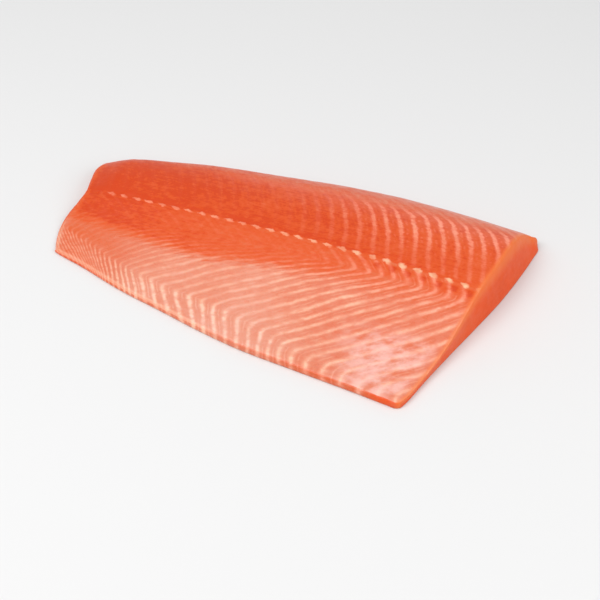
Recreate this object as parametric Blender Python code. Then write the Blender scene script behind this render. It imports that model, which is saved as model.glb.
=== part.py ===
"""A side of salmon, trimmed and skinned, lying flat on its outer face.

The fillet lies along X, from the tail end at -X to the slanted cut at +X.  The thick loin is on the +Y side of the
row of pin-bone marks, and the thin belly flap is on the -Y side.  The flesh is built up of flakes, each bounded by a
pale line.  One function for each half says where line number k runs, and the top face is a triangle net whose edges
follow those lines, so each flake stands up as a low ridge between two grooves.

Lengths below are in millimetres.  A plan place is (along, across): along grows from the tail end to the cut, and
across grows from the belly to the loin.  The finished mesh is in metres, with its origin under the middle of the
fillet's box.
"""
import math

import bmesh
import bpy
import numpy as np
from mathutils import Vector
from mathutils.geometry import delaunay_2d_cdt

MM = 0.001

# Outline of the base, counter-clockwise from the tail end's belly corner
OUTLINE = (
    (-1.0, -50.4), (24.0, -57.6), (57.0, -68.4), (91.5, -76.8), (125.0, -85.2), (158.0, -91.6), (196.0, -95.6),
    (236.0, -99.6), (262.0, -102.6), (271.6, -102.8), (275.8, -95.0), (282.0, -72.0), (290.6, -43.5),
    (299.6, -15.2), (308.4, 14.0), (314.8, 42.0), (319.0, 66.0), (319.8, 76.0), (313.4, 80.8), (289.0, 83.8),
    (250.0, 86.0), (204.0, 86.0), (159.0, 82.0), (113.0, 76.0), (67.0, 69.2), (22.0, 58.8), (1.0, 51.8),
    (-8.8, 45.8), (-12.0, 34.0), (-10.2, 21.5), (-8.0, 10.0), (-9.6, -1.0), (-12.0, -14.0), (-11.4, -26.5),
    (-8.0, -38.5), (-4.2, -46.8),
)
CURVE_STEPS = 24

# Thickness of the loin's crest, which grows from the tail end to the cut
CREST_AT_TAIL = 16.4
CREST_GAIN = 14.6
CREST_RUN = 297.0
# The top face dips toward the tail end
TAIL_DROP = 0.28
TAIL_DROP_START = -12.0
TAIL_DROP_END = 13.0

# Height over the crest's, from the pin-bone line (0) to the edge (1) of each half
LOIN_AT_TAIL = ((0.0, 0.90), (0.06, 0.925), (0.2, 0.97), (0.45, 1.0), (0.65, 0.965), (0.8, 0.88), (0.92, 0.74),
                (1.0, 0.57))
LOIN_AT_CUT = ((0.0, 0.90), (0.06, 0.925), (0.2, 0.97), (0.45, 1.0), (0.65, 0.90), (0.8, 0.70), (0.92, 0.42),
               (1.0, 0.19))
BELLY_SECTION = ((0.0, 0.90), (0.07, 0.815), (0.2, 0.66), (0.45, 0.385), (0.65, 0.235), (0.8, 0.185), (1.0, 0.16))
# Least thickness of the belly's edge, which grows over a stretch of the fillet
BELLY_EDGE_AT_TAIL = 3.4
BELLY_EDGE_AT_CUT = 5.2
BELLY_EDGE_STRETCH = (40.0, 190.0)
# Stretches of the fillet over which each half's edge is looked up, and at how many places
BELLY_EDGE_RANGE = (-4.0, 262.0)
LOIN_EDGE_RANGE = (-6.0, 317.0)
EDGE_PLACES = 90

# Side walls: how far the top edge stands in from the base, at the cut by the place across, and how round each is
WALL_INSET = 1.8
CUT_INSET = ((-110.0, 0.6), (-50.0, 0.6), (-20.0, 4.0), (5.0, 6.5), (30.0, 8.0), (60.0, 10.2), (90.0, 9.0))
# Each wall from its top edge down, as (share of the inset, share of the height)
ROUND_WALL = ((1.0, 1.0), (0.52, 0.90), (0.16, 0.62), (0.0, 0.28), (0.22, 0.0))
CUT_WALL = ((1.0, 1.0), (0.80, 0.90), (0.44, 0.50), (0.07, 0.09), (0.05, 0.0))
# How squarely a wall faces +X, from where it starts to be the cut to where it is wholly the cut
CUT_FACING = (0.55, 0.9)
INSET_SMOOTHING = (1.0, 4.0, 6.0, 4.0, 1.0)

# Pin-bone line: its place across the fillet, the marks along it, and the shallow groove that it lies in
PIN_LINE_TAIL = 8.0
PIN_LINE_FALL = 14.0
PIN_LINE_RUN = 293.0
FIRST_MARK = 14.4
MARK_STEP = 10.15
MARK_GROWTH = 0.0287
PIN_GROOVE_DEPTH = 0.7
PIN_GROOVE_HALF_WIDTH = 2.6

# Loin lines, counted from the cut: they start beside the pin-bone line and lean tailward as they go out
LOIN_LINES = range(-4, 31)
LOIN_SPAN = (0.0, 84.0)
LOIN_START = 11.5
LOIN_LAST_LINE = 294.8
LOIN_STEP = 10.05
LOIN_GROWTH = 0.019
LOIN_LEAN = 0.20
LOIN_CURVE = 0.0049

# Belly lines, one from each mark: a hook at the pin-bone line, a long run tailward, a knee, and a short run headward
# to the edge.  The hook is long on the lines near the tail and short on those near the head.
BELLY_LINES = range(0, 40)
BELLY_SPAN = (12.0, -104.0)
TAIL_LINE = 7.0
HEAD_LINE = 25.0
HOOK_OUT_TAIL = 25.0
HOOK_OUT_HEAD = 3.0
HOOK_OUT_BEND = 1.6
HOOK_DEPTH_TAIL = 16.5
HOOK_DEPTH_HEAD = 11.5
HOOK_ROUND = 2.2
KNEE_LINE = 13.0
KNEE_ALONG = 59.3
KNEE_STEP_HEAD = 10.5
KNEE_STEP_TAIL = 7.6
KNEE_ACROSS = ((-60.0, -4.0), (-10.0, -24.0), (59.0, -50.0), (149.0, -67.5), (189.0, -82.0), (249.0, -93.0),
               (330.0, -103.0))
KNEE_ROUND_TAIL = 1.2
KNEE_ROUND_HEAD = 6.0
KNEE_ROUND_STRETCH = (110.0, 190.0)
LOWER_RUN = 0.62

# Relief: depth of the grooves in the well marked and in the smooth stretches
GROOVE_DEPTH = 0.60
FAINT_GROOVE_DEPTH = 0.22
# Heights of a flake across its width, from one groove to the next, over the groove's depth
FLAKE_SECTION = ((0.0, -1.0), (0.26, 0.25), (0.62, 0.45), (1.0, -1.0))
# The loin is smooth at the tail, and the belly just under the pin-bone line
LOIN_LEAST_MARKED = 0.15
LOIN_MARKED_STRETCH = (95.0, 215.0)
BELLY_MARKED_STRETCH = (7.0, 30.0)

# Net of the top face
RIM_STEP = 4.5
RIM_INSETS = (1.8, 4.2)
LINE_MARGIN = 6.0
LINE_STEP = 6.8
LINE_SAMPLES = 400
TURN_WEIGHT = 9.0
PIN_ROWS = (-4.2, -2.1, 0.0, 2.1, 4.2)
PIN_ROW_SPAN = (-2.0, 306.0)
LINES_CLEAR_OF_PIN_LINE = 6.2
MERGE_DISTANCE = 1e-4
# What delaunay_2d_cdt calls the triangles inside the outer loop
INSIDE_TRIANGLES = 1

SHARP_ANGLE = 50.0
BASE_COLOUR = (0.78, 0.135, 0.040, 1.0)
BASE_ROUGHNESS = 0.34


def clear_scene():
    """Remove every object that is in the scene."""
    for item in list(bpy.data.objects):
        bpy.data.objects.remove(item, do_unlink=True)


def blend(value, low, high):
    """A smooth step from 0 at low to 1 at high."""
    t = np.clip((np.asarray(value, float) - low) / (high - low), 0.0, 1.0)
    return t * t * (3.0 - 2.0 * t)


def smooth_table(value, table):
    """Read a table of (place, height) pairs along a smooth curve through them."""
    places = np.array([pair[0] for pair in table])
    heights = np.array([pair[1] for pair in table])
    slopes = np.gradient(heights, places)
    value = np.clip(np.asarray(value, float), places[0], places[-1])
    index = np.clip(np.searchsorted(places, value, side="right") - 1, 0, len(places) - 2)
    span = places[index + 1] - places[index]
    t = (value - places[index]) / span
    start = (1.0 + 2.0 * t) * (1.0 - t) ** 2 * heights[index] + t * (1.0 - t) ** 2 * span * slopes[index]
    end = t * t * (3.0 - 2.0 * t) * heights[index + 1] + t * t * (t - 1.0) * span * slopes[index + 1]
    return start + end


def closed_curve(points, step):
    """Points at an even step along a smooth closed curve through the given ones."""
    points = np.array(points)
    fine = []
    for i in range(len(points)):
        before, here = points[i - 1], points[i]
        after, beyond = points[(i + 1) % len(points)], points[(i + 2) % len(points)]
        for t in np.linspace(0.0, 1.0, CURVE_STEPS, endpoint=False):
            fine.append(0.5 * (2.0 * here + (after - before) * t
                               + (2.0 * before - 5.0 * here + 4.0 * after - beyond) * t ** 2
                               + (3.0 * here - before - 3.0 * after + beyond) * t ** 3))
    fine = np.array(fine + [fine[0]])
    length = np.concatenate([[0.0], np.cumsum(np.linalg.norm(np.diff(fine, axis=0), axis=1))])
    count = int(round(length[-1] / step))
    places = np.linspace(0.0, length[-1], count, endpoint=False)
    return np.stack([np.interp(places, length, fine[:, axis]) for axis in (0, 1)], axis=1)


def outward_normals(loop):
    """Unit normals of a counter-clockwise loop, pointing out of it."""
    along = np.roll(loop, -1, axis=0) - np.roll(loop, 1, axis=0)
    along /= np.linalg.norm(along, axis=1)[:, None]
    return np.stack([along[:, 1], -along[:, 0]], axis=1)


def distance_inside(points, loop):
    """How far each point lies inside a closed loop, with points outside it below zero."""
    start, end = loop, np.roll(loop, -1, axis=0)
    edge = end - start
    to_point = points[:, None, :] - start[None]
    t = np.clip((to_point * edge).sum(-1) / (edge * edge).sum(-1), 0.0, 1.0)
    gap = np.linalg.norm(to_point - t[..., None] * edge, axis=-1).min(axis=1)
    above_start = points[:, None, 1] > start[None, :, 1]
    above_end = points[:, None, 1] > end[None, :, 1]
    cross = edge[None, :, 0] * to_point[..., 1] - edge[None, :, 1] * to_point[..., 0]
    winding = (above_start & ~above_end & (cross < 0)).sum(1) - (~above_start & above_end & (cross > 0)).sum(1)
    return np.where(winding != 0, gap, -gap)


def pin_line(along):
    """Place across the fillet of the row of pin-bone marks."""
    return PIN_LINE_TAIL - PIN_LINE_FALL * np.maximum(along / PIN_LINE_RUN, 0.0) ** 3


def mark_along(k):
    """Place along the fillet of pin-bone mark k."""
    return FIRST_MARK + MARK_STEP * k + MARK_GROWTH * k * k


def loin_line(k, across):
    """Place along the fillet where loin line k is at this place across."""
    out = across - LOIN_START
    return LOIN_LAST_LINE - LOIN_STEP * k - LOIN_GROWTH * k * k - LOIN_LEAN * out - LOIN_CURVE * out * np.abs(out)


def belly_line(k, across):
    """Place along the fillet where belly line k is at this place across."""
    mark = mark_along(k)
    toward_head = np.clip((k - TAIL_LINE) / (HEAD_LINE - TAIL_LINE), 0.0, 1.0)
    top = pin_line(mark)
    turn_along = mark + HOOK_OUT_TAIL + (HOOK_OUT_HEAD - HOOK_OUT_TAIL) * toward_head ** HOOK_OUT_BEND
    turn_across = top - HOOK_DEPTH_TAIL - (HOOK_DEPTH_HEAD - HOOK_DEPTH_TAIL) * toward_head
    step = KNEE_STEP_HEAD if k > KNEE_LINE else KNEE_STEP_TAIL
    knee_along = KNEE_ALONG + step * (k - KNEE_LINE)
    knee_across = smooth_table(knee_along, KNEE_ACROSS)
    run = (turn_along - knee_along) / (turn_across - knee_across)
    knee_round = KNEE_ROUND_TAIL + (KNEE_ROUND_HEAD - KNEE_ROUND_TAIL) * blend(knee_along, *KNEE_ROUND_STRETCH)
    over_knee = across - knee_across
    bent = 0.5 * (run - LOWER_RUN) * over_knee + 0.5 * (run + LOWER_RUN) * np.hypot(over_knee, knee_round)
    hook = 0.5 * run + 0.5 * (turn_along - mark) / (top - turn_across)
    over_turn = across - turn_across
    return knee_along + bent - hook * (over_turn + np.hypot(over_turn, HOOK_ROUND))


def half_edges(along, loop):
    """Places across of the belly edge and the loin edge of the loop, at these places along."""
    lower = np.full(np.shape(along), np.inf)
    upper = np.full(np.shape(along), -np.inf)
    middle = pin_line(along)
    for (x0, y0), (x1, y1) in zip(loop, np.roll(loop, -1, axis=0)):
        hit = (along >= min(x0, x1)) & (along <= max(x0, x1)) & (x0 != x1)
        y = y0 + (y1 - y0) * (along - x0) / np.where(x0 != x1, x1 - x0, 1.0)
        lower = np.where(hit & (y < middle), np.minimum(lower, y), lower)
        upper = np.where(hit & (y >= middle), np.maximum(upper, y), upper)
    return lower, upper


class Body:
    """The fillet's smooth form: its base outline, and the height of the top face over it."""

    def __init__(self):
        self.base = closed_curve(OUTLINE, RIM_STEP)
        self.belly_places = np.linspace(*BELLY_EDGE_RANGE, EDGE_PLACES)
        self.belly_edge = half_edges(self.belly_places, self.base)[0]
        self.loin_places = np.linspace(*LOIN_EDGE_RANGE, EDGE_PLACES)
        self.loin_edge = half_edges(self.loin_places, self.base)[1]

    def crest(self, along):
        """Thickness of the loin's crest at this place along."""
        return CREST_AT_TAIL + CREST_GAIN * np.clip(along / CREST_RUN, -0.05, 1.05)

    def height(self, along, across):
        """Height of the smooth top face over the base."""
        middle = pin_line(along)
        to_belly = middle - np.interp(along, self.belly_places, self.belly_edge)
        to_loin = np.interp(along, self.loin_places, self.loin_edge) - middle
        over_belly = np.clip((middle - across) / to_belly, 0.0, 1.0)
        over_loin = np.clip((across - middle) / to_loin, 0.0, 1.0)
        to_cut = np.clip(along / CREST_RUN, 0.0, 1.0)
        loin = smooth_table(over_loin, LOIN_AT_TAIL) * (1.0 - to_cut) + smooth_table(over_loin, LOIN_AT_CUT) * to_cut
        share = np.where(across < middle, smooth_table(over_belly, BELLY_SECTION), loin)
        least = BELLY_EDGE_AT_TAIL + (BELLY_EDGE_AT_CUT - BELLY_EDGE_AT_TAIL) * blend(along, *BELLY_EDGE_STRETCH)
        tail_round = 1.0 - TAIL_DROP * (1.0 - blend(along, TAIL_DROP_START, TAIL_DROP_END))
        return np.maximum(self.crest(along) * share, least) * tail_round


def marked(along, across):
    """How well the flake lines are marked, from 0 to 1."""
    middle = pin_line(along)
    loin = LOIN_LEAST_MARKED + (1.0 - LOIN_LEAST_MARKED) * blend(along, *LOIN_MARKED_STRETCH)
    belly = blend(middle - across, *BELLY_MARKED_STRETCH)
    return np.where(across > middle, loin, belly)


def walk_line(line, k, span):
    """Points along a flake line between two places across, closer where the line turns."""
    across = np.linspace(*span, LINE_SAMPLES)
    points = np.stack([line(k, across), across], axis=1)
    legs = np.diff(points, axis=0)
    heading = np.unwrap(np.arctan2(legs[:, 1], legs[:, 0]))
    turn = np.concatenate([[0.0], np.abs(np.diff(heading))])
    effort = np.concatenate([[0.0], np.cumsum(np.linalg.norm(legs, axis=1) + TURN_WEIGHT * turn)])
    count = max(2, int(round(effort[-1] / LINE_STEP)) + 1)
    places = np.linspace(0.0, effort[-1], count)
    return np.stack([np.interp(places, effort, points[:, axis]) for axis in (0, 1)], axis=1)


class Net:
    """Points and edges of the top face, in plan, with the height of each point."""

    def __init__(self, body, rim):
        self.body = body
        self.rim = rim
        self.points = []
        self.edges = []

    def add_run(self, points, lift, closed=False):
        """Add a row of points, joined one to the next, this far above the smooth top face."""
        first = len(self.points)
        heights = self.body.height(points[:, 0], points[:, 1]) + lift
        self.points += [(x, y, z) for (x, y), z in zip(points, heights)]
        last = len(self.points) - 1
        self.edges += [(i, i + 1) for i in range(first, last)]
        if closed:
            self.edges.append((last, first))

    def add_clipped(self, points, lift, clear):
        """Add the stretches of a row of points that are clear and well inside the rim."""
        keep = clear & (distance_inside(points, self.rim) > LINE_MARGIN)
        breaks = np.flatnonzero(np.diff(keep.astype(int))) + 1
        for run in np.split(np.arange(len(points)), breaks):
            if keep[run[0]]:
                self.add_run(points[run], lift[run])

    def add_rim(self):
        """Add the rim and the rings just inside it."""
        normals = outward_normals(self.rim)
        for inset in (0.0,) + RIM_INSETS:
            self.add_run(self.rim - normals * inset, 0.0, closed=True)

    def add_pin_groove(self):
        """Add the shallow groove along the pin-bone line."""
        along = np.arange(*PIN_ROW_SPAN, LINE_STEP)
        for offset in PIN_ROWS:
            points = np.stack([along, pin_line(along) + offset], axis=1)
            depth = PIN_GROOVE_DEPTH * math.exp(-(offset / PIN_GROOVE_HALF_WIDTH) ** 2)
            self.add_clipped(points, np.full(len(along), -depth), np.full(len(along), True))

    def add_flakes(self, line, numbers, span, side):
        """Add the flakes of one half: its side is +1 for the loin, whose lines count tailward, and -1 for the belly."""
        for k in numbers:
            for place, height in FLAKE_SECTION[:-1]:
                points = walk_line(line, k - side * place, span)
                across_pin_line = (points[:, 1] - pin_line(points[:, 0])) * side
                depth = FAINT_GROOVE_DEPTH + (GROOVE_DEPTH - FAINT_GROOVE_DEPTH) * marked(points[:, 0], points[:, 1])
                self.add_clipped(points, height * depth, across_pin_line > LINES_CLEAR_OF_PIN_LINE)


def wall_rings(body):
    """Rings of the side wall, from the top edge down to the base, each as points with their heights."""
    base = body.base
    normals = outward_normals(base)
    cut = blend(normals[:, 0], *CUT_FACING)
    inset = WALL_INSET + cut * (smooth_table(base[:, 1], CUT_INSET) - WALL_INSET)
    reach = len(INSET_SMOOTHING) // 2
    inset = sum(weight * np.roll(inset, shift - reach) for shift, weight in enumerate(INSET_SMOOTHING))
    inset /= sum(INSET_SMOOTHING)
    top = base - normals * inset[:, None]
    top_height = body.height(top[:, 0], top[:, 1])
    rings = []
    for (round_in, round_up), (cut_in, cut_up) in zip(ROUND_WALL, CUT_WALL):
        share_in = round_in + (cut_in - round_in) * cut
        share_up = round_up + (cut_up - round_up) * cut
        rings.append((base - normals * (inset * share_in)[:, None], top_height * share_up))
    return rings


def flesh_material():
    """Wet salmon flesh."""
    material = bpy.data.materials.new("flesh")
    material.use_nodes = True
    shader = material.node_tree.nodes["Principled BSDF"]
    shader.inputs["Base Color"].default_value = BASE_COLOUR
    shader.inputs["Roughness"].default_value = BASE_ROUGHNESS
    shader.inputs["Metallic"].default_value = 0.0
    return material


def build_fillet(collection):
    """Make the fillet: the net of the top face, the wall's rings and the flat base, as one closed mesh."""
    body = Body()
    rings = wall_rings(body)
    rim = rings[0][0]
    net = Net(body, rim)
    net.add_rim()
    net.add_pin_groove()
    net.add_flakes(loin_line, LOIN_LINES, LOIN_SPAN, 1.0)
    net.add_flakes(belly_line, BELLY_LINES, BELLY_SPAN, -1.0)
    plan = [Vector((x, y)) for x, y, _ in net.points]
    places, _, faces, sources, _, _ = delaunay_2d_cdt(plan, net.edges, [], INSIDE_TRIANGLES, MERGE_DISTANCE)

    extent = np.concatenate([ring for ring, _ in rings])
    centre = 0.5 * (extent.min(axis=0) + extent.max(axis=0))
    mesh_builder = bmesh.new()

    def add_vertex(x, y, z):
        """Add a vertex at a plan place and a height, measured from under the middle of the box."""
        return mesh_builder.verts.new(Vector((x - centre[0], y - centre[1], z)) * MM)

    top = []
    vertex_of_point = {}
    for place, source in zip(places, sources):
        if source:
            height = net.points[source[0]][2]
        else:
            height = float(body.height(place.x, place.y))
        top.append(add_vertex(place.x, place.y, height))
        vertex_of_point.update({index: top[-1] for index in source})
    for face in faces:
        mesh_builder.faces.new([top[i] for i in face])

    upper = [vertex_of_point[i] for i in range(len(rim))]
    for ring, heights in rings[1:]:
        lower = [add_vertex(x, y, z) for (x, y), z in zip(ring, heights)]
        for i in range(len(rim)):
            mesh_builder.faces.new((upper[i - 1], lower[i - 1], lower[i], upper[i]))
        upper = lower
    mesh_builder.faces.new(list(reversed(upper)))

    bmesh.ops.recalc_face_normals(mesh_builder, faces=mesh_builder.faces)
    mesh = bpy.data.meshes.new("fillet")
    mesh_builder.to_mesh(mesh)
    mesh_builder.free()
    mesh.shade_smooth()
    mesh.set_sharp_from_angle(angle=math.radians(SHARP_ANGLE))
    mesh.materials.append(flesh_material())
    fillet = bpy.data.objects.new("fillet", mesh)
    collection.objects.link(fillet)


clear_scene()
parts = bpy.data.collections.new("salmon_fillet")
bpy.context.scene.collection.children.link(parts)
build_fillet(parts)
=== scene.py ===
"""Looks for the salmon fillet: its fine surface, the wet flesh with pale flake lines, the light, the camera.

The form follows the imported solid.  A few functions say where the flake lines run and how thick the flesh is,
here on a mesh fine enough to carry each groove, with the line numbers stored on its points for the material.

Lengths are in millimetres until a mesh is written in metres.  A plan place is (along, across): along grows
from the tail end to the cut, and across grows from the belly to the loin.  A smooth step is (low, high), or
(low, high, value at low, value at high).
"""
import math

import bpy
import numpy as np
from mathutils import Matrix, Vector
from mathutils.geometry import delaunay_2d_cdt


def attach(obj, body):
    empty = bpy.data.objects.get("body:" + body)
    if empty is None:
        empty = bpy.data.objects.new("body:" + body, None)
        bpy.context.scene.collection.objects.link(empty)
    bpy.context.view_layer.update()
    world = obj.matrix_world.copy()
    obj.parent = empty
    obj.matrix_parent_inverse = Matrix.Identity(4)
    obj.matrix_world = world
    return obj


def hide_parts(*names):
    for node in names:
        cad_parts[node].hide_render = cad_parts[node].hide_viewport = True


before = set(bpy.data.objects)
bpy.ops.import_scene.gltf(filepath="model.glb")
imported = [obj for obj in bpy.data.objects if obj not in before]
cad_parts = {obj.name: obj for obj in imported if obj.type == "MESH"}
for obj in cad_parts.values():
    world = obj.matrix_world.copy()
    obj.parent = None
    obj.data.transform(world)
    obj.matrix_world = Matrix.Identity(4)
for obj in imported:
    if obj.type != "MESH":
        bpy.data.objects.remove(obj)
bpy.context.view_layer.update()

MM = 0.001

# Outline of the base, counter-clockwise from the tail end's belly corner, and the places of its four corners
OUTLINE = (
    (-1.0, -50.4), (24.0, -57.6), (57.0, -68.4), (91.5, -76.8), (125.0, -85.2), (158.0, -91.6),
    (196.0, -95.6), (236.0, -99.6), (262.0, -102.6), (271.6, -102.8), (275.8, -95.0), (282.0, -72.0),
    (290.6, -43.5), (299.6, -15.2), (308.4, 14.0), (314.8, 42.0), (319.0, 66.0), (319.8, 76.0),
    (313.4, 80.8), (289.0, 83.8), (250.0, 86.0), (204.0, 86.0), (159.0, 82.0), (113.0, 76.0), (67.0, 69.2),
    (22.0, 58.8), (1.0, 51.8), (-8.8, 45.8), (-12.0, 34.0), (-10.2, 21.5), (-8.0, 10.0), (-9.6, -1.0),
    (-12.0, -14.0), (-11.4, -26.5), (-8.0, -38.5), (-4.2, -46.8),
)
CURVE_STEPS = 60
CORNERS = ((-3.8, -48.95), (272.6, -102.0), (315.8, 80.1), (-6.0, 48.6))

# Thickness of the loin's crest, which grows from the tail end to the cut
CREST_AT_TAIL = 16.4
CREST_GAIN = 14.6
CREST_RUN = 297.0
CREST_REACH = (-0.05, 1.05)
TAIL_DROP = (-12.0, 13.0, 0.72, 1.0)

# Height over the crest's, from the pin-bone line (0) to the edge (1) of each half
LOIN_AT_TAIL = ((0.0, 0.90), (0.06, 0.925), (0.2, 0.97), (0.45, 1.0), (0.65, 0.965), (0.8, 0.88),
                (0.92, 0.74), (1.0, 0.57))
LOIN_AT_CUT = ((0.0, 0.90), (0.06, 0.925), (0.2, 0.97), (0.45, 1.0), (0.65, 0.90), (0.8, 0.70),
               (0.92, 0.42), (1.0, 0.19))
BELLY_SECTION = ((0.0, 0.90), (0.07, 0.815), (0.2, 0.66), (0.45, 0.385), (0.65, 0.235), (0.8, 0.185),
                 (1.0, 0.16))
BELLY_EDGE = (40.0, 190.0, 3.4, 5.2)
BELLY_EDGE_RANGE = (-4.0, 262.0)
LOIN_EDGE_RANGE = (-6.0, 317.0)
EDGE_PLACES = 90

# Side walls, as in the solid: inset of the top edge, and each wall as (share of inset, share of height)
WALL_INSET = 1.8
CUT_INSET = ((-110.0, 0.6), (-50.0, 0.6), (-20.0, 4.0), (5.0, 6.5), (30.0, 8.0), (60.0, 10.2), (90.0, 9.0))
ROUND_WALL = ((1.0, 1.0), (0.52, 0.90), (0.16, 0.62), (0.0, 0.28), (0.22, 0.0))
CUT_WALL = ((1.0, 1.0), (0.80, 0.90), (0.44, 0.50), (0.07, 0.09), (0.05, 0.0))
CUT_FACING = (0.55, 0.9)
INSET_SMOOTHING = 5.0
NORMAL_SMOOTHING = 3.5
SMOOTHING_STEP = 0.5
SMOOTHING_STEPS = 40

# Pin-bone line and its marks
PIN_LINE_TAIL = 8.0
PIN_LINE_FALL = 14.0
PIN_LINE_RUN = 293.0
FIRST_MARK = 14.4
MARK_STEP = 10.15
MARK_GROWTH = 0.0287
PIN_GROOVE_HALF_WIDTH = 2.6

# Loin lines, counted from the cut
LOIN_START = 11.5
LOIN_LAST_LINE = 294.8
LOIN_STEP = 10.05
LOIN_GROWTH = 0.019
LOIN_LEAN = 0.20
LOIN_CURVE = 0.0049
LOIN_SHIFT = (262.0, 305.0, 0.15, 0.0)

# Belly lines, one from each mark: a hook, a long run tailward, a knee, and a short run headward to the edge
TAIL_LINE = 7.0
HEAD_LINE = 25.0
HOOK_OUT_TAIL = 25.0
HOOK_OUT_HEAD = 3.0
HOOK_OUT_BEND = 1.6
HOOK_DEPTH_TAIL = 16.5
HOOK_DEPTH_HEAD = 11.5
HOOK_ROUND = 2.2
KNEE_ALONG = ((-14.0, -66.0), (0.0, 3.5), (5.0, 26.5), (8.5, 44.2), (10.8, 55.7), (16.5, 110.2),
              (20.3, 147.3), (25.3, 192.1), (30.0, 251.9), (52.0, 504.9))
KNEE_ACROSS = ((-60.0, -4.0), (-10.0, -24.0), (59.0, -50.0), (149.0, -67.5), (189.0, -82.0), (249.0, -93.0),
               (330.0, -103.0))
KNEE_ROUND = (110.0, 190.0, 1.2, 6.0)
LOWER_RUN = ((-40.0, 1.00), (0.0, 0.95), (15.0, 0.80), (30.0, 0.64), (50.0, 0.62), (70.0, 0.70), (90.0, 0.64),
             (110.0, 0.53), (320.0, 0.51))
UPPER_START_TAIL = 0.50
UPPER_START_HEAD = 0.97
UPPER_BEND_TAIL = 3.8
UPPER_BEND_HEAD = 5.2
LINE_SEARCH = (-14.0, 52.0)
LINE_SEARCH_STEPS = 34
SPACING_REACH = 0.3
LEAST_SLOPE = 0.02

# Relief of the fine surface
LOIN_GROOVE = 0.20
BELLY_GROOVE = 0.24
LEAST_GROOVE = 0.06
UNDER_GROOVE = 0.12
FLAKE_SECTION = ((0.0, -1.0), (0.07, -0.45), (0.18, 0.15), (0.40, 0.50), (0.62, 0.50), (0.84, 0.10),
                 (0.94, -0.55), (1.0, -1.0))
FLAKES_FROM_PIN = (2.5, 7.0)
FINE_PIN_GROOVE = 0.55
MARK_HALF_LENGTH = 2.8
MARK_HALF_WIDTH = 1.0
MARK_HEIGHT = 0.40
RIM_ROUND = 1.6
RIM_DROP = 0.45
WALL_ROUGHNESS = 0.22
ROUGH_WALL_HEIGHT = (2.0, 14.0)
WALL_FOOT = (0.0, 0.15)
WALL_TOP = (1.0, 0.85)
WALL_OUT = 0.1
SHOULDER_START = 49.0
SHOULDER_LEAN = 0.55
SHOULDER_ROUND = 4.0

# Slow unevenness over the plan, as layers of (height, size, seed)
UNEVEN_CELLS = 512
UNEVEN_SHIFT = 200.0
STRAY_ALONG = ((0.9, 17.0, 11), (0.35, 5.5, 12))
STRAY_ACROSS = ((0.8, 19.0, 13), (0.3, 6.0, 14))
LUMPS = ((0.22, 24.0, 21), (0.08, 7.0, 22), (0.03, 2.4, 23))
BELLY_CLOUD = ((0.04, 30.0, 32),)
SHOULDER_WANDER = ((1.5, 12.0, 33),)
WALL_LUMPS = ((1.0, 6.0, 41), (0.5, 2.5, 42))
UNDER_LUMPS = ((0.05, 8.0, 43),)

# Fine mesh: faces along and across the top face, rings of the wall, and the net of the underside
ALONG_FACES = 340
ACROSS_FACES = 176
WALL_RINGS = 11
PATCH_LENGTH = 305.0
LEAST_GAP = 0.3
POINTS_AT_ONCE = 4000
UNDER_STEP = 1.55
UNDER_MARGIN = 0.9
UNDER_LIFT = 0.05
UNDER_RISE = (0.5, 5.0)
UNDER_VALUES = {"gap": -20.0, "to_cut": 100.0, "under": 1.0, "face": 1.0}
ONLY_INSIDE = 1
SAME_PLACE = 1e-5

# Where the deep orange strip below the pin-bone line gives way to the pale belly, as (along, across)
STRIP_EDGE = ((-12.0, -12.0), (20.0, -15.0), (50.0, -19.5), (80.0, -23.0), (110.0, -23.0), (141.0, -20.0),
              (168.0, -17.5), (200.0, -15.0), (250.0, -16.0), (300.0, -20.0))
NOT_BELOW_STRIP = -40.0
STRIP_TO_BELLY = (-2.0, 6.0)

# How pale each zone is along the fillet
BELLY_PALE = ((-12.0, 0.46), (20.0, 0.50), (60.0, 0.72), (100.0, 0.83), (150.0, 0.84), (200.0, 0.71),
              (240.0, 0.60), (300.0, 0.64))
STRIP_PALE = ((-12.0, 0.04), (30.0, 0.06), (100.0, 0.22), (180.0, 0.27), (250.0, 0.36), (310.0, 0.36))
LOIN_PALE = ((-12.0, 0.02), (35.0, 0.0), (120.0, 0.08), (200.0, 0.10), (270.0, 0.16), (320.0, 0.18))
SHOULDER_PALE = ((-12.0, 0.10), (35.0, 0.16), (120.0, 0.24), (200.0, 0.34), (270.0, 0.44), (320.0, 0.36))
SHOULDER_TONE_START = (60.0, 200.0, 46.0, 52.0)
SHOULDER_TONE_END = 60.0
BELLY_EDGE_PALER = (0.45, 0.9, 0.0, 0.10)

# How plain the lines of each zone are, as steps along and across; belly lines are plainer below their knees
LOIN_LINES_ALONG = (130.0, 245.0, 0.06, 1.0)
LOIN_LINES_AT_EDGE = (50.0, 58.0, 1.0, 0.2)
LOIN_LINES_AT_PIN = (8.0, 40.0, 0.32, 1.0)
STRIP_LINES_ALONG = (165.0, 245.0, 0.08, 0.93)
LOWER_LINES_TAIL = (10.0, 70.0, 0.72, 1.15)
LOWER_LINES_HEAD = (190.0, 240.0, 0.0, -0.15)
UPPER_LINES_TAIL = (25.0, 80.0, 0.12, 0.47)
UPPER_LINES_HEAD = (130.0, 210.0, 0.0, 0.42)
KNEE_BLUR = (-4.0, 5.0)

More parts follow.
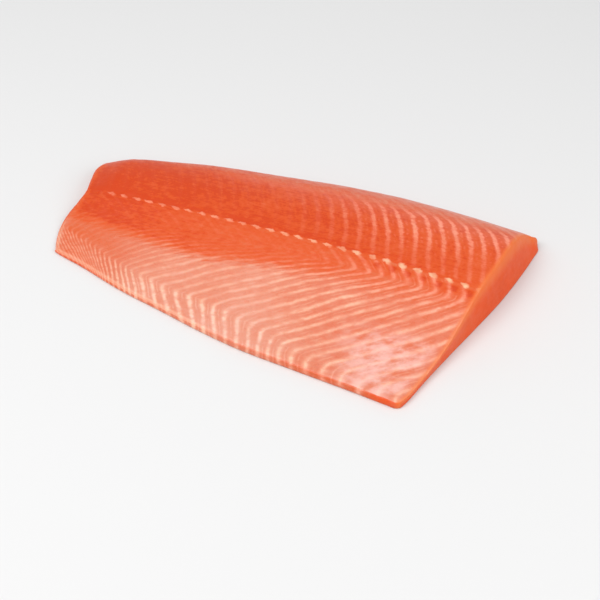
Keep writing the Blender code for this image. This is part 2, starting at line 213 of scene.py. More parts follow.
# Noises of the material: size along and across, turn in plan in degrees, detail, roughness, and shift
NOISES = {
    "loin_zigzag": (3.2, 2.0, 0.0, 2.0, 0.5, 0.0),
    "loin_wander": (9.0, 7.0, 0.0, 1.0, 0.5, 0.3),
    "loin_breaks": (6.0, 3.0, 0.0, 2.0, 0.6, 0.0),
    "belly_zigzag": (3.6, 2.6, 0.0, 1.0, 0.5, 0.7),
    "belly_wander": (14.0, 9.0, 0.0, 1.0, 0.5, 0.9),
    "belly_width": (12.0, 8.0, 0.0, 1.0, 0.5, 1.3),
    "belly_beads": (8.0, 4.0, 25.0, 2.0, 0.5, 1.9),
    "belly_reach": (22.0, 1.8, 20.0, 2.0, 0.6, 1.7),
    "mark_over": (2.6, 2.0, 0.0, 2.0, 0.5, 2.1),
    "mark_beside": (7.0, 7.0, 0.0, 1.0, 0.5, 2.6),
    "mark_bright": (9.0, 6.0, 0.0, 1.0, 0.5, 3.1),
    "fibres": (15.0, 1.4, -3.0, 3.0, 0.6, 0.0),
    "mottle": (5.0, 3.4, 30.0, 3.0, 0.65, 4.0),
    "speck": (1.8, 1.2, 20.0, 2.0, 0.6, 4.4),
    "cloud": (34.0, 22.0, 0.0, 1.0, 0.5, 5.0),
    "streaks": (10.0, 2.2, 122.0, 2.0, 0.6, 6.0),
    "worn": (22.0, 12.0, 0.0, 2.0, 0.5, 7.0),
    "sheen_patches": (14.0, 8.0, 30.0, 3.0, 0.6, 8.0),
    "wet": (9.0, 6.0, 0.0, 3.0, 0.6, 9.0),
    "cut_streaks": (5.0, 30.0, -14.0, 3.0, 0.6, 9.4),
    "grain": (1.6, 0.9, 0.0, 3.0, 0.6, 0.0),
}

# Pale lines of the loin: a soft line in shares of the spacing, a core in millimetres, fainter second lines
LOIN_STRAY = (("loin_zigzag", 0.26), ("loin_wander", 0.16))
LOIN_SOFT = (0.02, 0.34, 1.0, 0.0)
LOIN_SOFT_SHARE = 0.45
LOIN_CORE = (0.4, 2.2, 1.0, 0.0)
LOIN_CORE_SHARE = 0.80
LOIN_BREAKS = (0.32, 0.58, 0.45, 1.0)
LOIN_SECOND_PLACE = 0.45
LOIN_SECOND = (0.2, 1.3, 0.30, 0.0)
LOIN_SECOND_BREAKS = (0.48, 0.64)

# Pale lines of the belly, made up in the same way
BELLY_STRAY = (("belly_zigzag", 0.13), ("belly_wander", 0.16))
BELLY_SOFT_START = 0.02
BELLY_SOFT_END = (0.3, 0.7, 0.30, 0.42)
BELLY_SOFT_SHARE = 0.65
BELLY_CORE_START = 0.3
BELLY_CORE_END = (3.0, 8.0, 1.2, 1.7)
BELLY_CORE_SHARE = 0.40
BELLY_BEADS = (0.34, 0.62, 0.42, 1.0)
BELLY_SECOND_PLACE = 0.5
BELLY_SECOND = (0.1, 0.9, 1.0, 0.0)
BELLY_SECOND_BRIGHT = (0.42, 0.62, 0.0, 0.32)
BELLY_SECOND_ROOM = (3.6, 5.2)

# Marks of the pin bones; the lengths and the least brightness go from the tail to the head
ABOVE_ZERO = 100.0
MARK_BESIDE = ("mark_beside", 3.0)
MARK_OVER = ("mark_over", 3.0)
MARK_RISE = 0.12
MARK_WIDTH = (-4.2, 1.5, 0.45, 1.40)
WIDER_AT_HEAD = 0.70
MARK_LENGTH = (3.7, 3.0)
MARK_EDGE = (0.10, 1.45, 1.0, 0.0)
MARK_BRIGHT = (0.38, 0.62)
MARK_FAINTEST = (0.60, 0.38)

# How far noises change the tone, and how plain the lines are on the cut
ALL_OVER = (("cloud", 0.20), ("mottle", 0.36), ("speck", 0.16))
OFF_BELLY = (("fibres", 0.48), ("mottle", 0.16))
STREAKS = ("streaks", 0.95)
SHOULDER_STREAKS = 0.85
LOIN_STREAKS = (6.0, 20.0, 0.0, 0.34)
CUT_LINES = (0.0, 0.6)
CUT_LINES_LEFT = (30.0, 60.0, 0.10, 0.40)

# Zones of the material
BELLY_REACH = ("belly_reach", 15.0)
BELLY_BLUR = (140.0, 240.0, 8.0, 16.0)
BLUR_START = -0.5
LINES_AHEAD = 7.0
SPOTS_BELOW_PIN = 5.0
# The band along the cut's top edge is a painted highlight: where it starts down the cut face, by place across,
# and where it is full
HIGHLIGHT_BAND_START = (-70.0, 20.0, -3.0, -12.0)
HIGHLIGHT_BAND_FULL = -0.5

# Places on the flesh, as products of values by name, each plain or as a smooth step
LOIN_LINES = (("from_pin", 1.5, 4.0),)
BELLY_LINES = (("from_pin", -0.6, -2.5),)
# The band part fades the lines under the painted highlight along the cut's top edge
LINES_LEFT = (("worn", 0.25, 0.6, 0.6, 1.0), ("band", 0.0, 1.0, 1.0, 0.4))
TOWARD_HEAD = (("along", 150.0, 250.0),)
MARKS = ("top", ("along", 4.0, 14.0))
CUT_FACE = ("face", ("to_cut", 30.0, 12.0), "not_under")
CUT_DEPTH = ("on_cut", ("cut_streaks", 0.3, 0.7, 0.95, 0.55))
# Painted highlight: a pale band on the top face just behind the cut's top edge
HIGHLIGHT_BAND_TOP = (("to_cut", 4.5, 0.0),)
# Painted sheen: pale whitish-pink patches on the belly near the cut, where the wet flesh would reflect light
PAINTED_SHEEN = (("sheen_patches", 0.30, 0.68), ("across", -40.0, -60.0), ("along", 205.0, 245.0), ("to_cut", 2.0, 12.0),
        "top")
CREAM = (("gap", 1.6, 0.4), ("gap", -1.2, -0.2), ("across", -15.0, -35.0), ("along", 150.0, 110.0))
# Painted shade: a darker line just above the pin-bone marks, where the loin bulges over the groove
PAINTED_SHADE_OVER_MARKS = (("from_pin", 0.8, 2.4), ("from_pin", 7.0, 3.0), ("along", 250.0, 170.0))
STRIP_LOWER_EDGE = (("reached", -13.0, -5.0), ("reached", 1.0, -3.0), ("along", 240.0, 170.0))
UNDER_MARKS = (("from_pin", -12.0, -7.0), ("from_pin", -1.0, -3.0), ("along", 180.0, 235.0))
SPOTS = (("mark_gap", 3.4, 1.0), ("from_spots", 3.4, 0.8), ("along", 195.0, 235.0))
TAIL_CORNER = (("along", 62.0, 30.0), ("below_strip", 9.0, 18.0))
TAIL_RIM = (("along", 2.0, -8.0), ("gap", 7.0, 1.0))
BELLY_WALL = ("face", ("across", 0.0, -20.0), ("to_cut", 2.0, 14.0), "not_under")
WET = (("wet", 0.3, 0.7, 0.24, 0.42),)

# What is added up for the tone, the roughness and the bump, as (share, place)
TONE_CHANGES = (
    # the darker line over the pin-bone marks is painted shade
    (-0.08, PAINTED_SHADE_OVER_MARKS), (-0.03, STRIP_LOWER_EDGE), (-0.12, UNDER_MARKS), (-0.30, SPOTS),
    # the paler band along the cut's top edge is a painted highlight
    (-0.08, TAIL_CORNER), (-0.10, "on_cut"), (0.12, "band"), (0.20, TAIL_RIM), (0.12, "under"),
    (-0.30, BELLY_WALL),
)
ROUGHNESS = ((1.0, WET), (0.06, "not_belly"), (0.22, "on_cut"))
BUMPS = ((0.5, "grain"), (0.6, "fibres"), (0.3, "lines"), (0.4, "marks"))

# Colours, as 8-bit display values; the ground and the lines by tone, the marks by their place along
GROUND_COLOURS = (
    (0.0, (214, 66, 8)), (0.10, (222, 79, 20)), (0.25, (226, 90, 36)), (0.42, (225, 102, 57)),
    (0.68, (226, 124, 93)), (0.80, (229, 137, 108)), (1.0, (233, 155, 130)),
)
LINE_COLOURS = (
    (0.0, (240, 118, 84)), (0.10, (244, 137, 106)), (0.25, (248, 153, 124)), (0.42, (249, 163, 134)),
    (0.68, (250, 184, 154)), (0.80, (252, 197, 167)), (1.0, (252, 204, 184)),
)
MARK_COLOURS = (
    (0.0, (247, 146, 112)), (0.3, (250, 166, 132)), (0.6, (251, 180, 142)), (0.85, (251, 197, 160)),
    (1.0, (252, 208, 166)),
)
MARK_COLOURS_REACH = (0.0, 300.0)
MARK_SHARE = 0.8
COLOUR_LAYERS = (
    # the first layer is a painted sheen of pale patches on the belly near the cut
    (0.72, PAINTED_SHEEN, (250, 204, 194)), (0.35, CREAM, (253, 200, 168)), (1.0, CUT_DEPTH, (238, 82, 2)),
    # the pale orange band along the cut's top edge is a painted highlight
    (0.60, "band", (245, 132, 66)),
)

# Wet surface
BUMP_STRENGTH = 0.35
BUMP_DISTANCE = 0.25 * MM
WET_SURFACE = {
    "Specular IOR Level": 0.32,
    "Subsurface Weight": 0.12,
    "Subsurface Radius": (1.0, 0.35, 0.2),
    "Subsurface Scale": 2.0 * MM,
    "Coat Weight": 0.12,
    "Coat Roughness": 0.12,
}

# Sockets of the mixing node: the share and the two colours, and the result
MIX_INPUTS = (0, 6, 7)
MIX_OUTPUT = 2

# Studio, in metres: floor, even light, lamps as (name, place, size, power), and camera
FLOOR_REACH = 20.0
FLOOR_DROP = 0.0002
FLOOR_COLOUR = (0.80, 0.80, 0.80, 1.0)
FLOOR_ROUGHNESS = 0.9
WORLD_STRENGTH = 0.49
LAMPS = (
    ("key", (-0.50, -0.55, 1.20), 0.9, 11.5),
    ("fill", (0.95, -0.15, 0.75), 0.8, 4.7),
    ("rim", (-0.25, 1.30, 0.50), 0.6, 1.0),
)
CAMERA_TARGET = (0.0240, -0.0239, 0.0)
CAMERA_BACK = (0.2511, -0.6610, 0.7071)
CAMERA_DISTANCE = 0.9895
CAMERA_LENS = 85.68
CAMERA_SENSOR = 36.0


def blend(value, low, high):
    """A smooth step from 0 at low to 1 at high."""
    t = np.clip((np.asarray(value, float) - low) / (high - low), 0.0, 1.0)
    return t * t * (3.0 - 2.0 * t)


def ease(value, low, high, start, end):
    """A smooth step from start at low to end at high."""
    return start + (end - start) * blend(value, low, high)


def smooth_table(value, table):
    """Read a table of (place, height) pairs along a smooth curve through them."""
    places = np.array([pair[0] for pair in table])
    heights = np.array([pair[1] for pair in table])
    slopes = np.gradient(heights, places)
    value = np.clip(np.asarray(value, float), places[0], places[-1])
    index = np.clip(np.searchsorted(places, value, side="right") - 1, 0, len(places) - 2)
    span = places[index + 1] - places[index]
    t = (value - places[index]) / span
    start = (1.0 + 2.0 * t) * (1.0 - t) ** 2 * heights[index] + t * (1.0 - t) ** 2 * span * slopes[index]
    end = t * t * (3.0 - 2.0 * t) * heights[index + 1] + t * t * (t - 1.0) * span * slopes[index + 1]
    return start + end


def uneven(along, across, size, seed):
    """Smooth random values from -1 to 1, about one hill in each square of this size."""
    grid = np.random.default_rng(seed).uniform(-1.0, 1.0, (UNEVEN_CELLS, UNEVEN_CELLS))
    u = np.asarray(along, float) / size + UNEVEN_SHIFT
    v = np.asarray(across, float) / size + UNEVEN_SHIFT
    i = np.floor(u).astype(int)
    j = np.floor(v).astype(int)
    s = (u - i) ** 2 * (3.0 - 2.0 * (u - i))
    t = (v - j) ** 2 * (3.0 - 2.0 * (v - j))
    i, next_i = i % UNEVEN_CELLS, (i + 1) % UNEVEN_CELLS
    j, next_j = j % UNEVEN_CELLS, (j + 1) % UNEVEN_CELLS
    low = grid[i, j] * (1.0 - s) + grid[next_i, j] * s
    high = grid[i, next_j] * (1.0 - s) + grid[next_i, next_j] * s
    return low * (1.0 - t) + high * t


def layered(along, across, layers):
    """Sum of layers of smooth random values."""
    return sum(height * uneven(along, across, size, seed) for height, size, seed in layers)


def closed_curve(points):
    """Points along a smooth closed curve through the given ones."""
    points = np.array(points)
    fine = []
    for i in range(len(points)):
        before, here = points[i - 1], points[i]
        after, beyond = points[(i + 1) % len(points)], points[(i + 2) % len(points)]
        for t in np.linspace(0.0, 1.0, CURVE_STEPS, endpoint=False):
            fine.append(0.5 * (2.0 * here + (after - before) * t
                               + (2.0 * before - 5.0 * here + 4.0 * after - beyond) * t ** 2
                               + (3.0 * here - before - 3.0 * after + beyond) * t ** 3))
    return np.array(fine)


def outward_normals(loop):
    """Unit normals of a counter-clockwise loop, pointing out of it."""
    along = np.roll(loop, -1, axis=0) - np.roll(loop, 1, axis=0)
    along /= np.linalg.norm(along, axis=1)[:, None]
    return np.stack([along[:, 1], -along[:, 0]], axis=1)


def pin_line(along):
    """Place across the fillet of the row of pin-bone marks."""
    return PIN_LINE_TAIL - PIN_LINE_FALL * np.maximum(along / PIN_LINE_RUN, 0.0) ** 3


def mark_along(k):
    """Place along the fillet of pin-bone mark k."""
    return FIRST_MARK + MARK_STEP * k + MARK_GROWTH * k * k


def mark_number(along):
    """The mark number, with its fraction, at this place along: mark_along the other way round."""
    start = MARK_STEP ** 2 - 4.0 * MARK_GROWTH * (FIRST_MARK - along)
    return (np.sqrt(np.maximum(start, 0.0)) - MARK_STEP) / (2.0 * MARK_GROWTH)


def loin_number(along, across):
    """The loin line number, with its fraction, at a plan place.  It grows tailward."""
    out = across - LOIN_START
    over_shoulder = np.maximum(across - SHOULDER_START, 0.0)
    hook = SHOULDER_LEAN * over_shoulder * over_shoulder / (over_shoulder + SHOULDER_ROUND)
    left = LOIN_LAST_LINE - LOIN_LEAN * out - LOIN_CURVE * out * np.abs(out) - hook - along
    root = np.sqrt(np.maximum(LOIN_STEP ** 2 + 4.0 * LOIN_GROWTH * left, 0.0))
    return (root - LOIN_STEP) / (2.0 * LOIN_GROWTH) + ease(along, *LOIN_SHIFT)


def knee_place(k):
    """Plan place of belly line k's knee."""
    along = smooth_table(k, KNEE_ALONG)
    return along, smooth_table(along, KNEE_ACROSS)


def belly_line(k, across):
    """Place along the fillet where belly line k is at this place across."""
    mark = mark_along(k)
    toward_head = np.clip((k - TAIL_LINE) / (HEAD_LINE - TAIL_LINE), 0.0, 1.0)
    top = pin_line(mark)
    turn_along = mark + HOOK_OUT_TAIL + (HOOK_OUT_HEAD - HOOK_OUT_TAIL) * toward_head ** HOOK_OUT_BEND
    turn_across = top - HOOK_DEPTH_TAIL - (HOOK_DEPTH_HEAD - HOOK_DEPTH_TAIL) * toward_head
    knee_along, knee_across = knee_place(k)
    knee_round = ease(knee_along, *KNEE_ROUND)
    lower_run = smooth_table(knee_along, LOWER_RUN)
    # The upper branch starts steep at the knee and flattens toward the hook
    start_share = UPPER_START_TAIL + (UPPER_START_HEAD - UPPER_START_TAIL) * toward_head
    power = UPPER_BEND_TAIL + (UPPER_BEND_HEAD - UPPER_BEND_TAIL) * toward_head
    reach = turn_along - knee_along
    start_run = start_share * reach / (turn_across - knee_across)
    over_knee = across - knee_across
    way = np.clip(over_knee / (turn_across - knee_across), 0.0, 1.0)
    bent = 0.5 * (start_run - lower_run) * over_knee
    bent = bent + 0.5 * (start_run + lower_run) * np.hypot(over_knee, knee_round)
    bent = bent + reach * (1.0 - start_share) * way ** power
    hook = 0.5 * start_run + 0.5 * (turn_along - mark) / (top - turn_across)
    over_turn = across - turn_across
    return knee_along + bent - hook * (over_turn + np.hypot(over_turn, HOOK_ROUND))


def belly_number(along, across):
    """The belly line number, with its fraction, at a plan place, found by halving."""
    low = np.full(np.shape(along), LINE_SEARCH[0])
    high = np.full(np.shape(along), LINE_SEARCH[1])
    for _ in range(LINE_SEARCH_STEPS):
        middle = 0.5 * (low + high)
        beyond = belly_line(middle, across) > along
        high = np.where(beyond, middle, high)
        low = np.where(beyond, low, middle)
    return 0.5 * (low + high)


def half_edges(along, loop):
    """Places across of the belly edge and the loin edge of the loop, at these places along."""
    lower = np.full(np.shape(along), np.inf)
    upper = np.full(np.shape(along), -np.inf)
    middle = pin_line(along)
    for (x0, y0), (x1, y1) in zip(loop, np.roll(loop, -1, axis=0)):
        hit = (along >= min(x0, x1)) & (along <= max(x0, x1)) & (x0 != x1)
        y = y0 + (y1 - y0) * (along - x0) / np.where(x0 != x1, x1 - x0, 1.0)
        lower = np.where(hit & (y < middle), np.minimum(lower, y), lower)
        upper = np.where(hit & (y >= middle), np.maximum(upper, y), upper)
    return lower, upper


class Body:
    """The fillet's smooth form: its base outline, and the height of the top face over it."""

    def __init__(self):
        self.base = closed_curve(OUTLINE)
        self.belly_places = np.linspace(*BELLY_EDGE_RANGE, EDGE_PLACES)
        self.belly_edge = half_edges(self.belly_places, self.base)[0]
        self.loin_places = np.linspace(*LOIN_EDGE_RANGE, EDGE_PLACES)
        self.loin_edge = half_edges(self.loin_places, self.base)[1]

    def shares(self, along, across):
        """How far a place is from the pin-bone line to the belly edge, and to the loin edge, as shares."""
        middle = pin_line(along)
        to_belly = middle - np.interp(along, self.belly_places, self.belly_edge)
        to_loin = np.interp(along, self.loin_places, self.loin_edge) - middle
        return np.clip((middle - across) / to_belly, 0.0, 1.0), np.clip((across - middle) / to_loin, 0.0, 1.0)

    def height(self, along, across):
        """Height of the smooth top face over the base."""
        over_belly, over_loin = self.shares(along, across)
        to_cut = np.clip(along / CREST_RUN, 0.0, 1.0)
        loin = smooth_table(over_loin, LOIN_AT_TAIL) * (1.0 - to_cut)
        loin = loin + smooth_table(over_loin, LOIN_AT_CUT) * to_cut
        share = np.where(across < pin_line(along), smooth_table(over_belly, BELLY_SECTION), loin)
        least = ease(along, *BELLY_EDGE)
        crest = CREST_AT_TAIL + CREST_GAIN * np.clip(along / CREST_RUN, *CREST_REACH)
        return np.maximum(crest * share, least) * ease(along, *TAIL_DROP)


def strayed(along, across):
    """The plan place at which the even pattern is read, so that the lines wander a little as real ones do."""
    return along + layered(along, across, STRAY_ALONG), across + layered(along, across, STRAY_ACROSS)


def line_spacing(number, along, across):
    """Distance in millimetres from one line to the next, square to the lines."""
    reach = SPACING_REACH
    by_along = (number(along + reach, across) - number(along - reach, across)) / (2.0 * reach)
    by_across = (number(along, across + reach) - number(along, across - reach)) / (2.0 * reach)
    return 1.0 / np.maximum(np.hypot(by_along, by_across), LEAST_SLOPE)


def read_pattern(along, across):
    """Everything about the flake pattern at plan places, as named arrays."""
    u, v = strayed(along, across)
    return {
        "loin_line": loin_number(u, v),
        "belly_line": belly_number(u, v),
        "loin_step": line_spacing(loin_number, along, across),
        "belly_step": line_spacing(belly_number, along, across),
        "mark": mark_number(along),
        "from_pin": across - pin_line(along),
    }


def flakes(pattern):
    """Height of the flakes, from -1 in a groove to about 0.5 on a flake, for the loin and for the belly."""
    loin_place = -pattern["loin_line"] - np.floor(-pattern["loin_line"])
    belly_place = pattern["belly_line"] - np.floor(pattern["belly_line"])
    loin = np.interp(loin_place, *zip(*FLAKE_SECTION)) * blend(pattern["from_pin"], *FLAKES_FROM_PIN)
    belly = np.interp(belly_place, *zip(*FLAKE_SECTION)) * blend(-pattern["from_pin"], *FLAKES_FROM_PIN)
    return loin, belly


def relief(pattern, strength, along, across):
    """Height of the fine relief over the smooth face: flakes, pin-bone groove, marks and small unevenness."""
    from_pin = pattern["from_pin"]
    loin, belly = flakes(pattern)
    loin *= LEAST_GROOVE + (LOIN_GROOVE - LEAST_GROOVE) * strength
    belly *= LEAST_GROOVE + (BELLY_GROOVE - LEAST_GROOVE) * strength
    groove = -FINE_PIN_GROOVE * np.exp(-(from_pin / PIN_GROOVE_HALF_WIDTH) ** 2)
    mark_off = (pattern["mark"] - np.round(pattern["mark"])) * MARK_STEP
    marks = MARK_HEIGHT * np.exp(-(mark_off / MARK_HALF_LENGTH) ** 2 - (from_pin / MARK_HALF_WIDTH) ** 2)
    return loin + belly + groove + marks + layered(along, across, LUMPS)


def side_places(loop, start, end, count):
    """Fractional places on a closed loop at even lengths from one index to another, both ends included."""
    if end <= start:
        end += len(loop)
    index = np.arange(start, end + 1)
    stretch = loop[index % len(loop)]
    length = np.concatenate([[0.0], np.cumsum(np.linalg.norm(np.diff(stretch, axis=0), axis=1))])
    return np.interp(np.linspace(0.0, length[-1], count + 1), length, index)


def read_loop(values, places):
    """Values of a closed loop at fractional places."""
    low = np.floor(places).astype(int)
    part = places - low
    if values.ndim == 2:
        part = part[:, None]
    return values[low % len(values)] * (1.0 - part) + values[(low + 1) % len(values)] * part


class Skin:
    """Places, values and faces of the fine mesh."""

    def __init__(self):
        self.places = []
        self.count = 0
        self.faces = []
        self.values = {"gap": [], "to_cut": [], "under": [], "face": []}

    def add_points(self, points, **values):
        """Add an array of points with their values, and return their indices."""
        self.places.append(points)
        for name, kept in self.values.items():
            kept.append(np.broadcast_to(values.get(name, 0.0), len(points)))
        first = self.count
        self.count += len(points)
        return np.arange(first, self.count)

    def add_faces(self, faces):
        """Add an array of faces."""
        self.faces += [tuple(int(i) for i in face) for face in faces]


def wall_profile(table, count):
    """Shares of the inset and of the height down a wall, at even steps along its table."""
    steps = np.linspace(0.0, len(table) - 1.0, count + 1)
    index = [(i, pair[0]) for i, pair in enumerate(table)]
    level = [(i, pair[1]) for i, pair in enumerate(table)]
    return np.stack([smooth_table(steps, index), smooth_table(steps, level)], axis=1)


def smooth_around(values, length, width):
    """Values of a closed loop, smoothed along it by this width; the lengths end with the whole loop's."""
    total = length[-1]
    even = np.arange(0.0, total, SMOOTHING_STEP)
    cyclic = np.concatenate([length - total, length, length + total])
    even_values = np.interp(even, cyclic, np.tile(values, 3))
    reach = np.arange(-SMOOTHING_STEPS, SMOOTHING_STEPS + 1)
    weights = np.exp(-0.5 * (reach * SMOOTHING_STEP / width) ** 2)
    weights /= weights.sum()
    even_values = sum(w * np.roll(even_values, s) for w, s in zip(weights, reach))
    return np.interp(length, np.append(even, total), np.append(even_values, even_values[0]))


def rim_loops(base):
    """Places, outward normals, inset and share of cut face, at the points of the top face's four sides."""
    normals = outward_normals(base)
    cut = blend(normals[:, 0], *CUT_FACING)
    inset = WALL_INSET + cut * (smooth_table(base[:, 1], CUT_INSET) - WALL_INSET)
    length = np.cumsum(np.linalg.norm(np.roll(base, -1, axis=0) - base, axis=1))
    inset = smooth_around(inset, length, INSET_SMOOTHING)
    # Smoothed normals keep the walls from folding at the corners
    normals = np.stack([smooth_around(normals[:, i], length, NORMAL_SMOOTHING) for i in (0, 1)], axis=1)
    corner = [int(np.argmin(np.linalg.norm(base - np.array(place), axis=1))) for place in CORNERS]
    counts = (ALONG_FACES, ACROSS_FACES, ALONG_FACES, ACROSS_FACES)
    sides = [side_places(base, corner[i], corner[(i + 1) % 4], counts[i])[:-1] for i in range(4)]
    around = np.concatenate(sides)
    normals = read_loop(normals, around)
    normals /= np.linalg.norm(normals, axis=1)[:, None]
    return read_loop(base, around), normals, read_loop(inset, around), read_loop(cut, around)


def blended_patch(rim):
    """Plan places of the top face, blended from the four sides of its rim."""
    bottom = rim[:ALONG_FACES + 1]
    right = rim[ALONG_FACES:ALONG_FACES + ACROSS_FACES + 1]
    top = rim[ALONG_FACES + ACROSS_FACES:2 * ALONG_FACES + ACROSS_FACES + 1][::-1]
    left = np.concatenate([rim[2 * ALONG_FACES + ACROSS_FACES:], rim[:1]])[::-1]
    s = np.linspace(0.0, 1.0, ALONG_FACES + 1)[:, None, None]
    t = np.linspace(0.0, 1.0, ACROSS_FACES + 1)[None, :, None]
    patch = ((1.0 - t) * bottom[:, None] + t * top[:, None] + (1.0 - s) * left[None] + s * right[None]
             - (1.0 - s) * (1.0 - t) * bottom[0] - s * (1.0 - t) * bottom[-1]
             - (1.0 - s) * t * top[0] - s * t * top[-1])
    return patch.reshape(-1, 2)


def build_skin(body):
    """Lay out the fine mesh: a four-sided patch on top, rings down the wall, and a net underneath."""
    loops = rim_loops(body.base)
    base, normals, inset, _ = loops
    rim = base - normals * inset[:, None]
    plan = blended_patch(rim)
    along, across = plan[:, 0], plan[:, 1]
    pattern = read_pattern(along, across)
    gap = np.maximum(distance_inside(plan, rim[::2]), 0.0)
    gap = np.where(gap < LEAST_GAP, 0.0, gap)
    strength = line_strength(zone_values(body, along, across, pattern))
    heights = body.height(along, across) + relief(pattern, strength, along, across)
    heights -= RIM_DROP * np.maximum(1.0 - gap / RIM_ROUND, 0.0) ** 2
    to_cut = np.repeat((1.0 - np.linspace(0.0, 1.0, ALONG_FACES + 1)) * PATCH_LENGTH, ACROSS_FACES + 1)

    skin = Skin()
    number = skin.add_points(np.column_stack([plan, heights]), gap=gap, to_cut=to_cut)
    number = number.reshape(ALONG_FACES + 1, ACROSS_FACES + 1)
    quads = np.stack([number[:-1, :-1], number[1:, :-1], number[1:, 1:], number[:-1, 1:]], axis=-1)
    skin.add_faces(quads.reshape(-1, 4))
    rim_numbers = np.concatenate([number[:-1, 0], number[-1, :-1], number[:0:-1, -1], number[0, :0:-1]])
    ring, ring_numbers = add_walls(skin, loops, rim, rim_numbers, heights[rim_numbers], to_cut[rim_numbers])
    add_underside(skin, ring, ring_numbers)
    return skin


def add_walls(skin, loops, rim, rim_numbers, rim_heights, rim_to_cut):
    """Add the rings of the wall below the rim, and return the lowest ring's places and numbers."""
    base, normals, inset, cut = loops
    rim_length = np.cumsum(np.linalg.norm(np.roll(rim, -1, axis=0) - rim, axis=1))
    profiles = zip(wall_profile(ROUND_WALL, WALL_RINGS), wall_profile(CUT_WALL, WALL_RINGS))
    upper = rim_numbers
    for (round_in, round_up), (cut_in, cut_up) in list(profiles)[1:]:
        share_in = round_in + (cut_in - round_in) * cut
        share_up = np.maximum(round_up + (cut_up - round_up) * cut, 0.0)
        ring_heights = rim_heights * share_up
        over_foot = blend(share_up, *WALL_FOOT)
        rough = WALL_ROUGHNESS * layered(rim_length, ring_heights, WALL_LUMPS)
        rough *= blend(rim_heights, *ROUGH_WALL_HEIGHT) * over_foot * blend(share_up, *WALL_TOP)
        ring = base - normals * (inset * share_in + rough - WALL_OUT * over_foot)[:, None]
        down = rim_heights * (1.0 - share_up)
        lower = skin.add_points(np.column_stack([ring, ring_heights]), gap=-down,
                                to_cut=rim_to_cut * (1.0 - cut) - down * cut,
                                under=np.where(share_up > 0.0, 0.0, 1.0), face=1.0)
        skin.add_faces(np.stack([upper, lower, np.roll(lower, -1), np.roll(upper, -1)], axis=-1))
        upper = lower
    return ring, upper


def add_underside(skin, ring, numbers):
    """Close the mesh below with a flat net inside the last ring."""
    sides = [np.arange(ring[:, i].min(), ring[:, i].max(), UNDER_STEP) for i in (0, 1)]
    grid = np.stack(np.meshgrid(*sides, indexing="ij"), axis=-1).reshape(-1, 2)
    gap = distance_inside(grid, ring[::2])
    inside = gap > UNDER_MARGIN
    grid = grid[inside]
    points = [Vector(place) for place in ring] + [Vector(place) for place in grid]
    edges = [(i, (i + 1) % len(ring)) for i in range(len(ring))]
    _, _, faces, sources, _, _ = delaunay_2d_cdt(points, edges, [], ONLY_INSIDE, SAME_PLACE)
    along, across = grid[:, 0], grid[:, 1]
    loin, belly = flakes(read_pattern(along, across))
    lift = UNDER_GROOVE * (0.5 - loin - belly) + UNDER_LIFT + layered(along, across, UNDER_LUMPS)
    lift *= blend(gap[inside], *UNDER_RISE)
    extra = skin.add_points(np.column_stack([grid, lift]), **UNDER_VALUES)
    all_numbers = np.concatenate([numbers, extra])
    name = [int(all_numbers[source[0]]) for source in sources]
    skin.add_faces([[name[i] for i in reversed(face)] for face in faces])


def distance_inside(points, loop):
    """How far each point lies inside a closed loop, with points outside it below zero."""
    result = []
    following = np.roll(loop, -1, axis=0)
    edge = following - loop
    for part in np.array_split(points, max(1, len(points) // POINTS_AT_ONCE)):
        to_point = part[:, None, :] - loop[None]
        t = np.clip((to_point * edge).sum(-1) / (edge * edge).sum(-1), 0.0, 1.0)
        gap = np.linalg.norm(to_point - t[..., None] * edge, axis=-1).min(axis=1)
        above_start = part[:, None, 1] > loop[None, :, 1]
        above_end = part[:, None, 1] > following[None, :, 1]
        cross = edge[None, :, 0] * to_point[..., 1] - edge[None, :, 1] * to_point[..., 0]
        downward = (above_start & ~above_end & (cross < 0)).sum(1)
        upward = (~above_start & above_end & (cross > 0)).sum(1)
        result.append(np.where(downward != upward, gap, -gap))
    return np.concatenate(result)


def zone_values(body, along, across, pattern):
    """How pale the flesh is and how plain its lines are, above the lower edge of the strip and below it."""
    over_belly = body.shares(along, across)[0]
    from_pin = pattern["from_pin"]
    below_strip = np.where(from_pin < 0.0, np.interp(along, *zip(*STRIP_EDGE)) - across, NOT_BELOW_STRIP)
    wandering = across + layered(along, across, SHOULDER_WANDER)
    shoulder = blend(wandering, ease(along, *SHOULDER_TONE_START), SHOULDER_TONE_END)
    belly_pale = smooth_table(along, BELLY_PALE) + layered(along, across, BELLY_CLOUD)
    belly_pale = belly_pale + ease(over_belly, *BELLY_EDGE_PALER)
    strip_pale = smooth_table(along, STRIP_PALE)
    loin_pale = smooth_table(along, LOIN_PALE)
    loin_pale = loin_pale + (smooth_table(along, SHOULDER_PALE) - loin_pale) * shoulder
    loin_plain = ease(across, *LOIN_LINES_AT_EDGE) * ease(across, *LOIN_LINES_AT_PIN)
    loin_plain = loin_plain * ease(along, *LOIN_LINES_ALONG)
    strip_plain = ease(along, *STRIP_LINES_ALONG)
    below_knee = knee_place(pattern["belly_line"])[1] - across
    lower_plain = ease(along, *LOWER_LINES_TAIL) + ease(along, *LOWER_LINES_HEAD)
    upper_plain = ease(along, *UPPER_LINES_TAIL) + ease(along, *UPPER_LINES_HEAD)
    return {
        "pale_above": np.where(from_pin > 0.0, loin_pale, strip_pale),
        "pale_below": belly_pale,
        "lines_above": np.where(from_pin > 0.0, loin_plain, strip_plain),
        "lines_below": upper_plain + (lower_plain - upper_plain) * blend(below_knee, *KNEE_BLUR),
        "below_strip": below_strip,
        "shoulder": shoulder,
    }


def line_strength(zones):
    """How plain the grooves between the flakes are, from 0 to about 1."""
    above = zones["lines_above"]
    return above + (zones["lines_below"] - above) * blend(zones["below_strip"], *STRIP_TO_BELLY)


